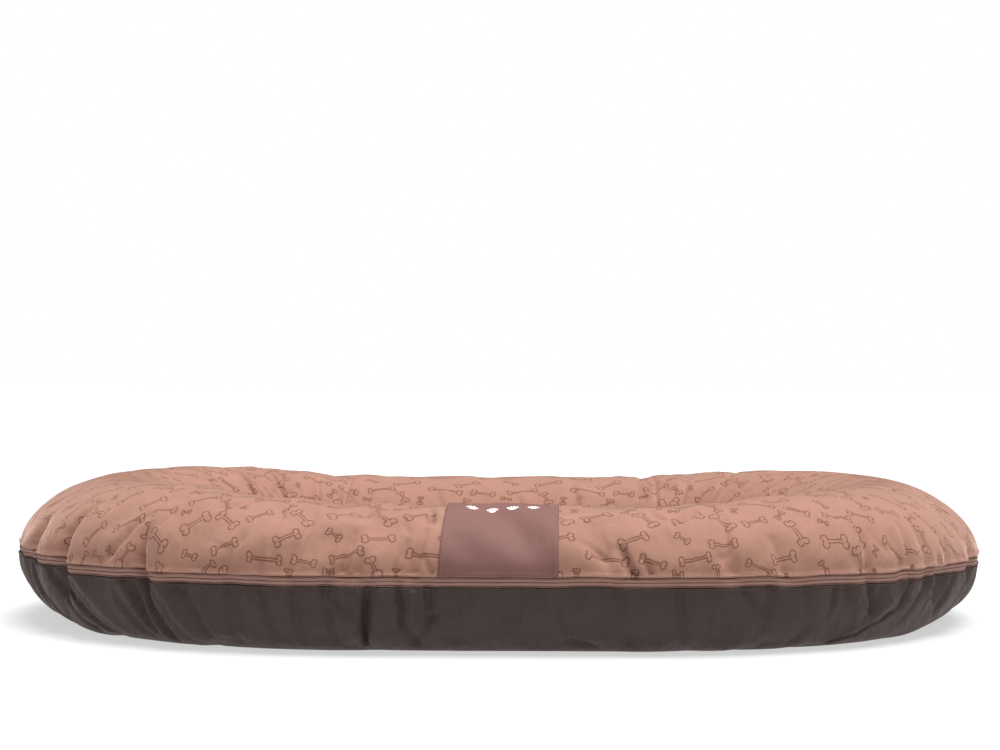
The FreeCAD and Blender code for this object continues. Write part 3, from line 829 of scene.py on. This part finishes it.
def labelPatch():
    order = np.argsort(fromFront)
    under = np.abs(fromFront) < label["halfWidth"]
    crestRow = int(np.argmax(surface[hemRow:seamRow, under].mean(1)[:, 2])) + hemRow
    lastRow = int(np.searchsorted(fromZip, fromZip[crestRow] + label["over"]))
    along = np.linspace(-label["halfWidth"], label["halfWidth"], label["columns"])

    def leaning(values, up):
        # the patch leans to the right towards its top, where its left corner is tucked in
        spot = along + (1 + up * (6 - 46 * along)) * mm
        return np.stack([np.interp(spot, fromFront[order], values[order, k]) for k in range(3)], -1)

    share = np.clip(fromZip / fromZip[crestRow], 0, 1)
    overRim = range(hemRow + 1, lastRow + 1)
    grid = np.array([leaning(surface[j], share[j]) for j in overRim])
    out = unit(np.array([leaning(normals[j], share[j]) for j in overRim]))
    hemUp = leaning(zipUp, 0)
    hem = leaning(zipMiddle, 0) + hemUp * label["hemUp"] * mm
    hemOut = leaning(zipOut, 0)
    grid = np.concatenate([(hem - hemUp * label["hemTall"] * mm)[None], hem[None], grid])
    out = np.concatenate([hemOut[None], hemOut[None], out])
    stand = np.full(grid.shape[:2], label["stand"])
    stand[0], stand[1] = label["hemStand"]
    outer = grid + out * stand[..., None] * mm
    inner = outer - out * label["thick"] * mm
    rowsHere, columnsHere = grid.shape[:2]
    halfHem = label["hemTall"] / 2 * mm
    hemReach = [fromZip[hemRow] - halfHem, fromZip[hemRow] + halfHem]
    up = np.concatenate([hemReach, fromZip[hemRow + 1:lastRow + 1]])
    index = np.arange(rowsHere * columnsHere).reshape(rowsHere, columnsHere)
    quads = np.stack([index[:-1, :-1], index[:-1, 1:], index[1:, 1:], index[1:, :-1]], -1).reshape(-1, 4)
    shift = rowsHere * columnsHere
    border = np.concatenate([index[0, :-1], index[:-1, -1], index[-1, :0:-1], index[:0:-1, 0]])
    following = np.roll(border, -1)
    walls = np.stack([border, border + shift, following + shift, following], -1)
    faces = quads.tolist() + (quads[:, ::-1] + shift).tolist() + walls.tolist()
    piece = makeMesh("labelPatch", np.stack([outer, inner]), faces)
    fromCrest = (up - fromZip[crestRow])[:, None]
    flat = np.stack(np.broadcast_arrays(along[None, :], fromCrest), -1).reshape(-1, 2)
    setMap(piece, np.concatenate([flat, flat]))
    wholeBed(piece, "label_patch")
    # its topstitching runs up one side, across the top and down the other
    inset = max(1, int(round(label["stitchInset"] * mm / (along[1] - along[0]))))
    topRow = rowsHere - 1 - inset
    path = [(j, inset) for j in range(1, topRow)]
    path += [(topRow, i) for i in range(inset, columnsHere - inset)]
    path += [(j, columnsHere - 1 - inset) for j in range(topRow - 1, 0, -1)]
    line = np.array([outer[spot] for spot in path])
    stitches = stitchAlong("labelStitch", line, np.array([out[spot] for spot in path]))
    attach(stitches, "bed")
    return piece, stitches


labelPiece, labelStitch = labelPatch()


# what is inside: two stuffed casings and the tape that binds the inner seam
coarse = blur(blur(surface, 6, 1), 4, 0)


def filledRing(name, first, last, every, inset, floorHeight, node):
    deep = coarse - normalsOf(coarse) * inset * mm
    deep[..., 2] = np.maximum(deep[..., 2], floorHeight * mm)
    picked = deep[first:last:every, ::4]
    piece = makeMesh(name, picked, tubeFaces(*picked.shape[:2]))
    wholeBed(piece, node)
    return piece


rimCase = filledRing("rimCase", 6, seamRow - 6, 5, 12, 9, "rim_case")
rimFilling = filledRing("rimFilling", 8, seamRow - 8, 5, 16, 13, "rim_filling")


def filledDisc(name, top, bottom, reach, node):
    steps = 8
    rings = []
    for share in np.linspace(0.12, 1, steps):
        z = bottom + 0.5 * (top - bottom) * (1 - math.sqrt(max(0, 1 - share ** 2)))
        rings.append(levelRing(reach * share, z, 8))
    for share in np.linspace(1, 0.12, steps)[1:]:
        z = top - 0.5 * (top - bottom) * (1 - math.sqrt(max(0, 1 - share ** 2)))
        rings.append(levelRing(reach * share, z, 8))
    count = rings[0].shape[0]
    faces = [list(f) for f in gridFaces(len(rings), count)]
    faces += closeAcross(count, 0, False) + closeAcross(count, (len(rings) - 1) * count, True)
    piece = makeMesh(name, rings, faces)
    wholeBed(piece, node)
    return piece


centreCase = filledDisc("centreCase", 0.043, 0.008, halfDepth - 0.285, "centre_case")
centreFilling = filledDisc("centreFilling", 0.039, 0.012, halfDepth - 0.292, "centre_filling")


binding = {
    "drop": 10,  # its middle under the inner seam
    "section": [  # out and up from that middle, inner face first
        (-2.2, 1), (-2.6, -1), (-2, -3), (0, -3.6), (2, -3), (2.9, -1), (2.6, 1),
        (3.4, 1.2), (3.7, -1), (2.6, -3.8), (0, -4.5), (-2.6, -3.8), (-3.3, -1), (-3, 1.2),
    ],
}


def seamBinding():
    # a folded tape round both raw edges under the seam
    middle = (surface[seamRow] + down * binding["drop"])[::2]
    rings = [middle + outside[::2] * a - down * b for a, b in binding["section"]]
    piece = makeMesh("seamBinding", rings, tubeFaces(len(rings), len(middle)))
    wholeBed(piece, "seam_binding")
    return piece


bindingPiece = seamBinding()
insides = (rimCase, rimFilling, centreCase, centreFilling, bindingPiece)
for piece in insides + (tapeUpper, tapeLower, coilUpper, coilLower):
    piece.data.validate()
print("inside made")


# materials

def add(tree, kind, inputs=None, **settings):
    made = tree.nodes.new(kind)
    for name, value in settings.items():
        setattr(made, name, value)
    for key, value in (inputs or {}).items():
        if isinstance(value, bpy.types.NodeSocket):
            tree.links.new(value, made.inputs[key])
        else:
            made.inputs[key].default_value = value
    return made


def newMaterial(name, settings):
    material = bpy.data.materials.new(name)
    material.use_nodes = True
    tree = material.node_tree
    tree.nodes.clear()
    output = tree.nodes.new("ShaderNodeOutputMaterial")
    shader = tree.nodes.new("ShaderNodeBsdfPrincipled")
    tree.links.new(shader.outputs["BSDF"], output.inputs["Surface"])
    for key, value in settings.items():
        shader.inputs[key].default_value = value
    return material, tree, shader


def mathOf(tree, operation, a, b=0.0, c=0.0):
    return add(tree, "ShaderNodeMath", {0: a, 1: b, 2: c}, operation=operation).outputs[0]


def placeOnCloth(tree):
    # the place on the flat cloth, in mm
    where = add(tree, "ShaderNodeUVMap", uv_map="cut")
    scaled = add(tree, "ShaderNodeVectorMath", {0: where.outputs[0], "Scale": 1000}, operation="SCALE")
    return scaled.outputs[0]


def crumpled(tree, shader, inMm, stretch, soft, fine, height):
    # wide soft crumples in the cloth, with its own nap or weave on top: strength and depth in mm
    stretched = add(tree, "ShaderNodeVectorMath", {0: inMm, 1: stretch}, operation="MULTIPLY")
    crumple = add(tree, "ShaderNodeTexNoise", {"Vector": stretched.outputs[0], "Scale": 0.03, "Detail": 2})
    under = add(tree, "ShaderNodeBump", {
        "Height": crumple.outputs["Fac"], "Strength": soft[0], "Distance": soft[1] * mm})
    over = add(tree, "ShaderNodeBump", {
        "Height": height, "Strength": fine[0], "Distance": fine[1] * mm, "Normal": under.outputs[0]})
    tree.links.new(over.outputs[0], shader.inputs["Normal"])


def overprint(material, share, code):
    # a second colour over the cloth's own, where share is 1
    tree = material.node_tree
    shader = tree.nodes["Principled BSDF"]
    own = shader.inputs["Base Color"].links[0].from_socket
    mixed = add(tree, "ShaderNodeMix", {0: share, 6: own, 7: hexToLinear(code)}, data_type="RGBA")
    tree.links.new(mixed.outputs[2], shader.inputs["Base Color"])


def boneGroup():
    # distance in mm from the outline of one drawn bone, from its place, turn and sizes
    group = bpy.data.node_groups.new("boneOutline", "ShaderNodeTree")
    interface = group.interface
    for name in ("spot", "middle"):
        interface.new_socket(name, in_out="INPUT", socket_type="NodeSocketVector")
    for name in ("turn", "halfLength", "lobe", "shaft"):
        interface.new_socket(name, in_out="INPUT", socket_type="NodeSocketFloat")
    interface.new_socket("distance", in_out="OUTPUT", socket_type="NodeSocketFloat")
    given = group.nodes.new("NodeGroupInput").outputs
    result = group.nodes.new("NodeGroupOutput").inputs["distance"]
    local = add(group, "ShaderNodeVectorMath", {0: given["spot"], 1: given["middle"]}, operation="SUBTRACT")
    turned = add(group, "ShaderNodeVectorRotate", {"Vector": local.outputs[0], "Angle": given["turn"]},
                 rotation_type="Z_AXIS")
    # folded over both its middle lines, a bone is one lobe and a quarter of the shaft
    folded = add(group, "ShaderNodeVectorMath", {0: turned.outputs[0]}, operation="ABSOLUTE")
    xyz = add(group, "ShaderNodeSeparateXYZ", {0: folded.outputs[0]})
    offX = mathOf(group, "SUBTRACT", xyz.outputs[0], given["halfLength"])
    offY = mathOf(group, "MULTIPLY_ADD", given["lobe"], -0.85, xyz.outputs[1])
    both = add(group, "ShaderNodeCombineXYZ", {0: offX, 1: offY})
    length = add(group, "ShaderNodeVectorMath", {0: both.outputs[0]}, operation="LENGTH")
    lobes = mathOf(group, "SUBTRACT", length.outputs["Value"], given["lobe"])
    sideways = mathOf(group, "SUBTRACT", xyz.outputs[1], given["shaft"])
    shaft = mathOf(group, "MAXIMUM", sideways, offX)
    joined = add(group, "ShaderNodeMath", {0: lobes, 1: shaft, 2: 1.6}, operation="SMOOTH_MIN")
    group.links.new(mathOf(group, "ABSOLUTE", joined.outputs[0]), result)
    return group


# the drawn bones in one repeat of the print, in mm: place, turn in degrees, half length,
# lobe and half shaft
printRepeat = (196, 116)
bones = [
    (24, 28, 25, 16, 5.0, 2.2), (30, 74, 14, 18, 3.3, 1.4), (62, 58, -68, 10, 3.3, 1.5),
    (8, 52, -8, 5.0, 2.2, 1.1), (86, 50, 82, 5.0, 2.2, 1.1), (110, 26, 28, 14, 3.6, 1.6),
    (120, 74, -10, 20, 3.4, 1.4), (68, 22, -48, 15, 4.4, 2.0), (146, 48, 62, 8.5, 2.7, 1.2),
    (172, 68, -18, 14, 3.3, 1.5), (166, 22, -55, 15, 4.6, 2.0), (66, 98, 8, 15, 3.5, 1.5),
    (150, 98, 25, 14, 3.8, 1.7), (14, 102, -35, 8, 2.8, 1.3),
]


def printedMicrofibre():
    # polyester microfibre, brushed and printed: matt, with a soft nap that pales at a slant
    material, tree, shader = newMaterial("brushedPrintedMicrofibre", {
        "Roughness": 0.9, "Specular IOR Level": 0.25, "Sheen Weight": 0.6, "Sheen Roughness": 0.35,
        "Sheen Tint": hexToLinear("#f0d0c4")})
    inMm = placeOnCloth(tree)
    # the lines waver a little, as drawn by hand
    wobble = add(tree, "ShaderNodeTexNoise", {"Vector": inMm, "Scale": 0.16, "Detail": 1})
    centred = add(tree, "ShaderNodeVectorMath", {0: wobble.outputs["Color"], 1: (0.5, 0.5, 0.5)},
                  operation="SUBTRACT")
    bent = add(tree, "ShaderNodeVectorMath", {0: centred.outputs[0], 1: (2.6, 2.6, 0), 2: inMm},
               operation="MULTIPLY_ADD")
    inTile = add(tree, "ShaderNodeVectorMath", {0: bent.outputs[0], 1: (*printRepeat, 1), 2: (0, 0, 0)},
                 operation="WRAP")
    flat = add(tree, "ShaderNodeVectorMath", {0: inTile.outputs[0], 1: (1, 1, 0)}, operation="MULTIPLY")
    group = boneGroup()
    nearest = None
    for x, y, turn, halfLength, lobe, shaft in bones:
        bone = tree.nodes.new("ShaderNodeGroup")
        bone.node_tree = group
        tree.links.new(flat.outputs[0], bone.inputs["spot"])
        bone.inputs["middle"].default_value = (x, y, 0)
        bone.inputs["turn"].default_value = -math.radians(turn)
        bone.inputs["halfLength"].default_value = halfLength
        bone.inputs["lobe"].default_value = lobe
        bone.inputs["shaft"].default_value = shaft
        nearest = bone.outputs[0] if nearest is None else mathOf(tree, "MINIMUM", nearest, bone.outputs[0])
    line = add(tree, "ShaderNodeMapRange", {
        "Value": nearest, "From Min": 0.5, "From Max": 1.2, "To Min": 1, "To Max": 0},
        interpolation_type="SMOOTHSTEP")
    broad = add(tree, "ShaderNodeTexNoise", {"Vector": inMm, "Scale": 0.02, "Detail": 3})
    nap = add(tree, "ShaderNodeTexNoise", {"Vector": inMm, "Scale": 0.45, "Detail": 4, "Roughness": 0.7})
    cloth = add(tree, "ShaderNodeMix", {
        0: broad.outputs["Fac"], 6: hexToLinear("#a67b69"), 7: hexToLinear("#b58674")}, data_type="RGBA")
    napped = add(tree, "ShaderNodeMix", {
        0: nap.outputs["Fac"], 6: hexToLinear("#d8d8d8"), 7: hexToLinear("#ffffff")}, data_type="RGBA")
    toned = add(tree, "ShaderNodeMix", {0: 1.0, 6: cloth.outputs[2], 7: napped.outputs[2]},
                data_type="RGBA", blend_type="MULTIPLY")
    tree.links.new(toned.outputs[2], shader.inputs["Base Color"])
    overprint(material, mathOf(tree, "MULTIPLY", line.outputs[0], 0.85), "#6b4234")
    crumpled(tree, shader, inMm, (1.7, 0.8, 1), (0.4, 7), (0.35, 0.6), nap.outputs["Fac"])
    return material


def wovenCloth(name, low, high, pitch, creased, settings):
    # plain weave: crossing ribs, drawn at pitch mm because the real threads are finer
    material, tree, shader = newMaterial(name, {
        "Sheen Roughness": 0.4, "Sheen Tint": hexToLinear("#e8c8bc"), **settings})
    inMm = placeOnCloth(tree)
    ribs = {"Vector": inMm, "Scale": 2 * math.pi / 20 / pitch}
    warp = add(tree, "ShaderNodeTexWave", ribs, bands_direction="X")
    weft = add(tree, "ShaderNodeTexWave", ribs, bands_direction="Y")
    weave = mathOf(tree, "MULTIPLY", warp.outputs["Fac"], weft.outputs["Fac"])
    broad = add(tree, "ShaderNodeTexNoise", {"Vector": inMm, "Scale": 0.025, "Detail": 4})
    slub = add(tree, "ShaderNodeTexNoise", {"Vector": inMm, "Scale": 0.6, "Detail": 3})
    halfBroad = mathOf(tree, "MULTIPLY", broad.outputs["Fac"], 0.5)
    fade = mathOf(tree, "MULTIPLY_ADD", slub.outputs["Fac"], 0.5, halfBroad)
    cloth = add(tree, "ShaderNodeMix", {0: fade, 6: hexToLinear(low), 7: hexToLinear(high)}, data_type="RGBA")
    tree.links.new(cloth.outputs[2], shader.inputs["Base Color"])
    both = mathOf(tree, "ADD", weave, mathOf(tree, "MULTIPLY", slub.outputs["Fac"], 0.6))
    crumpled(tree, shader, inMm, (1.8, 0.6, 1), (creased, 10), (0.3, 0.4), both)
    return material


def zipTapeWeave():
    # woven tape with painted shade: darkened to mauve brown below the two folds of the zip, where it faces
    # down, and above them, where it runs under the hem, so the folds stand paler
    material = wovenCloth("zipTapeWeave", "#916c61", "#ab8477", 0.8, 0, {
        "Roughness": 0.7, "Sheen Weight": 0.1, "Specular IOR Level": 0.3})
    tree = material.node_tree
    up = add(tree, "ShaderNodeSeparateXYZ", {0: placeOnCloth(tree)}).outputs[1]
    # painted shade: masks for the tape below the folds and the tape under the hem
    shadeBelowFolds = add(tree, "ShaderNodeMapRange", {
        "Value": up, "From Min": -4.4, "From Max": -3.4, "To Min": 1, "To Max": 0})
    shadeUnderHem = add(tree, "ShaderNodeMapRange", {
        "Value": up, "From Min": 4.0, "From Max": 4.8, "To Min": 0, "To Max": 1})
    # painted shade: these two bands are overprinted darker mauve brown
    overprint(material, mathOf(tree, "MAXIMUM", shadeBelowFolds.outputs[0], shadeUnderHem.outputs[0]), "#5c3f39")
    return material


# one printed paw, in mm: pad and four toes, each as place from the paw's middle and radii
pawParts = [
    (0, -2.6, 4.2, 3.2), (-5.2, 1.4, 1.7, 2.4), (-1.9, 3.9, 1.7, 2.5), (1.9, 3.9, 1.7, 2.5),
    (5.2, 1.4, 1.7, 2.4),
]


def labelSatin():
    # polyester satin: close smooth weave with a low gloss, printed with a row of paws
    material = wovenCloth("labelSatin", "#75504a", "#835d56", 0.9, 0.15, {
        "Roughness": 0.65, "Sheen Weight": 0.3, "Specular IOR Level": 0.2})
    tree = material.node_tree
    inMm = placeOnCloth(tree)
    pitch = label["pawPitch"]
    halfRow = pitch * label["paws"] / 2
    shifted = add(tree, "ShaderNodeVectorMath", {0: inMm, 1: (halfRow, label["pawDrop"], 0)}, operation="ADD")
    wrap = add(tree, "ShaderNodeVectorMath", {
        0: shifted.outputs[0], 1: (pitch, 1000, 1), 2: (0, -1000, 0)}, operation="WRAP")
    nearest = None
    for x, y, wide, tall in pawParts:
        off = add(tree, "ShaderNodeVectorMath", {0: wrap.outputs[0], 1: (pitch / 2 + x, y + 1, 0)},
                  operation="SUBTRACT")
        scaled = add(tree, "ShaderNodeVectorMath", {0: off.outputs[0], 1: (1 / wide, 1 / tall, 0)},
                     operation="MULTIPLY")
        away = add(tree, "ShaderNodeVectorMath", {0: scaled.outputs[0]}, operation="LENGTH")
        away = away.outputs["Value"]
        nearest = away if nearest is None else mathOf(tree, "MINIMUM", nearest, away)
    xyz = add(tree, "ShaderNodeSeparateXYZ", {0: inMm})
    inRow = mathOf(tree, "LESS_THAN", mathOf(tree, "ABSOLUTE", xyz.outputs[0]), halfRow)
    paw = add(tree, "ShaderNodeMapRange", {
        "Value": nearest, "From Min": 0.92, "From Max": 1.08, "To Min": 1, "To Max": 0})
    overprint(material, mathOf(tree, "MULTIPLY", paw.outputs[0], inRow), "#f4efec")
    return material


def plainFibre(name, low, high, scale, roughness):
    # loose or bonded fibre: a soft mottled surface
    material, tree, shader = newMaterial(name, {"Roughness": roughness})
    where = add(tree, "ShaderNodeTexCoord")
    noise = add(tree, "ShaderNodeTexNoise", {"Vector": where.outputs["Object"], "Scale": scale, "Detail": 5})
    cloth = add(tree, "ShaderNodeMix", {0: noise.outputs["Fac"], 6: hexToLinear(low), 7: hexToLinear(high)},
                data_type="RGBA")
    tree.links.new(cloth.outputs[2], shader.inputs["Base Color"])
    fuzz = add(tree, "ShaderNodeBump", {
        "Height": noise.outputs["Fac"], "Strength": 0.5, "Distance": 0.5 * mm})
    tree.links.new(fuzz.outputs[0], shader.inputs["Normal"])
    return material


def enamelledZinc():
    # die-cast zinc under brown enamel: smooth, lightly orange-peeled, glossy
    material, tree, shader = newMaterial("enamelledZinc", {})
    where = add(tree, "ShaderNodeTexCoord")
    peel = add(tree, "ShaderNodeTexNoise", {"Vector": where.outputs["Object"], "Scale": 900, "Detail": 2})
    worn = add(tree, "ShaderNodeTexNoise", {"Vector": where.outputs["Object"], "Scale": 250, "Detail": 4})
    tone = add(tree, "ShaderNodeMix", {
        0: worn.outputs["Fac"], 6: hexToLinear("#6a4a3f"), 7: hexToLinear("#805c50")}, data_type="RGBA")
    tree.links.new(tone.outputs[2], shader.inputs["Base Color"])
    rough = add(tree, "ShaderNodeMapRange", {"Value": worn.outputs["Fac"], "To Min": 0.28, "To Max": 0.42})
    tree.links.new(rough.outputs[0], shader.inputs["Roughness"])
    uneven = add(tree, "ShaderNodeBump", {
        "Height": peel.outputs["Fac"], "Strength": 0.15, "Distance": 0.1 * mm})
    tree.links.new(uneven.outputs[0], shader.inputs["Normal"])
    return material


def paint(piece, material):
    piece.data.materials.clear()
    piece.data.materials.append(material)


# each material with its slot and the pieces that have it
baseCloth = wovenCloth("baseOxfordWeave", "#3a2f2c", "#4c3e39", 1.2, 0.8, {
    "Roughness": 0.6, "Sheen Weight": 0.1, "Specular IOR Level": 0.25})
dressed = [
    (printedMicrofibre(), "printed_cloth", (rimPiece, centrePiece)),
    (baseCloth, "base_cloth", (basePiece,)),
    (labelSatin(), "label_cloth", (labelPiece,)),
    (plainFibre("labelThread", "#8a6861", "#9c7a73", 1500, 0.6), "label_cloth", (labelStitch,)),
    (zipTapeWeave(), "zip_tape", (tapeUpper, tapeLower)),
    (plainFibre("sewingThread", "#b08e82", "#c4a498", 1500, 0.6), "zip_tape", (hemStitch, tapeStitch)),
    (plainFibre("zipCoilNylon", "#6a4a40", "#7a5a50", 400, 0.4), "zip_coil", (coilUpper, coilLower)),
    (plainFibre("bindingTape", "#4a3c36", "#5a4a44", 900, 0.8), "binding_tape", (bindingPiece,)),
    (plainFibre("bondedFibreCase", "#d8d8d2", "#e8e8e4", 300, 0.9), "insert_cloth", (rimCase, centreCase)),
    (plainFibre("polyesterFibre", "#e6e6e0", "#f6f6f2", 120, 0.95), "fibre_filling",
     (rimFilling, centreFilling)),
]
for material, slot, members in dressed:
    for piece in members:
        paint(piece, material)
zinc = enamelledZinc()
for node in ("zip_slider", "zip_puller", "zip_top_stops", "zip_bottom_stop"):
    paint(bpy.data.objects[node], zinc)
print("materials set")


# studio: white floor and background, soft light all round and a broad one from above
lamps = {
    "roomLow": 0.0,
    "roomHigh": 0.65,
    "overhead": 4.6,
    "overheadSpread": 45,
    "overheadFrom": (0.27, 0.05, 1.5),
    "table": 0.58,  # the floor is a light table
}


def studio():
    deselectAll()
    bpy.ops.mesh.primitive_plane_add(size=30, location=(0, 0, 0))
    floor = bpy.context.object
    floor.name = "floor"
    material, tree, shader = newMaterial("whiteFloor", {
        "Emission Color": (1, 1, 1, 1), "Emission Strength": lamps["table"], "Roughness": 0.8})
    where = add(tree, "ShaderNodeTexCoord")
    noise = add(tree, "ShaderNodeTexNoise", {"Vector": where.outputs["Object"], "Scale": 3})
    tone = add(tree, "ShaderNodeMix", {
        0: noise.outputs["Fac"], 6: hexToLinear("#969696"), 7: hexToLinear("#9c9c9c")}, data_type="RGBA")
    tree.links.new(tone.outputs[2], shader.inputs["Base Color"])
    paint(floor, material)
    world = bpy.data.worlds.new("studioWorld")
    scene.world = world
    world.use_nodes = True
    tree = world.node_tree
    back = tree.nodes["Background"]
    back.inputs["Color"].default_value = (1, 1, 1, 1)
    way = add(tree, "ShaderNodeTexCoord")
    upward = add(tree, "ShaderNodeSeparateXYZ", {0: way.outputs["Generated"]})
    room = add(tree, "ShaderNodeMapRange", {
        "Value": upward.outputs[2], "From Min": 0.1, "To Min": lamps["roomLow"], "To Max": lamps["roomHigh"]})
    seen = add(tree, "ShaderNodeLightPath")
    strength = add(tree, "ShaderNodeMix", {0: seen.outputs["Is Camera Ray"], 2: room.outputs[0], 3: 1.0})
    tree.links.new(strength.outputs[0], back.inputs["Strength"])
    sun = bpy.data.lights.new("overheadLight", "SUN")
    sun.energy = lamps["overhead"]
    sun.angle = math.radians(lamps["overheadSpread"])
    lamp = bpy.data.objects.new("overheadLight", sun)
    scene.collection.objects.link(lamp)
    lamp.rotation_euler = (-Vector(lamps["overheadFrom"])).to_track_quat("-Z", "Y").to_euler()


studio()

eye = {"distance": 3.0, "height": 0.343, "pitch": 0.8, "lens": 85, "yaw": 0.35, "roll": -0.2}


def takeView():
    data = bpy.data.cameras.new("camera")
    data.lens = eye["lens"]
    data.sensor_width = 36
    camera = bpy.data.objects.new("camera", data)
    scene.collection.objects.link(camera)
    yaw = math.radians(eye["yaw"])
    camera.location = (eye["distance"] * math.sin(yaw), -eye["distance"] * math.cos(yaw), eye["height"])
    camera.rotation_euler = (math.radians(90 - eye["pitch"]), math.radians(eye["roll"]), yaw)
    scene.camera = camera


takeView()
scene.view_settings.view_transform = "Standard"
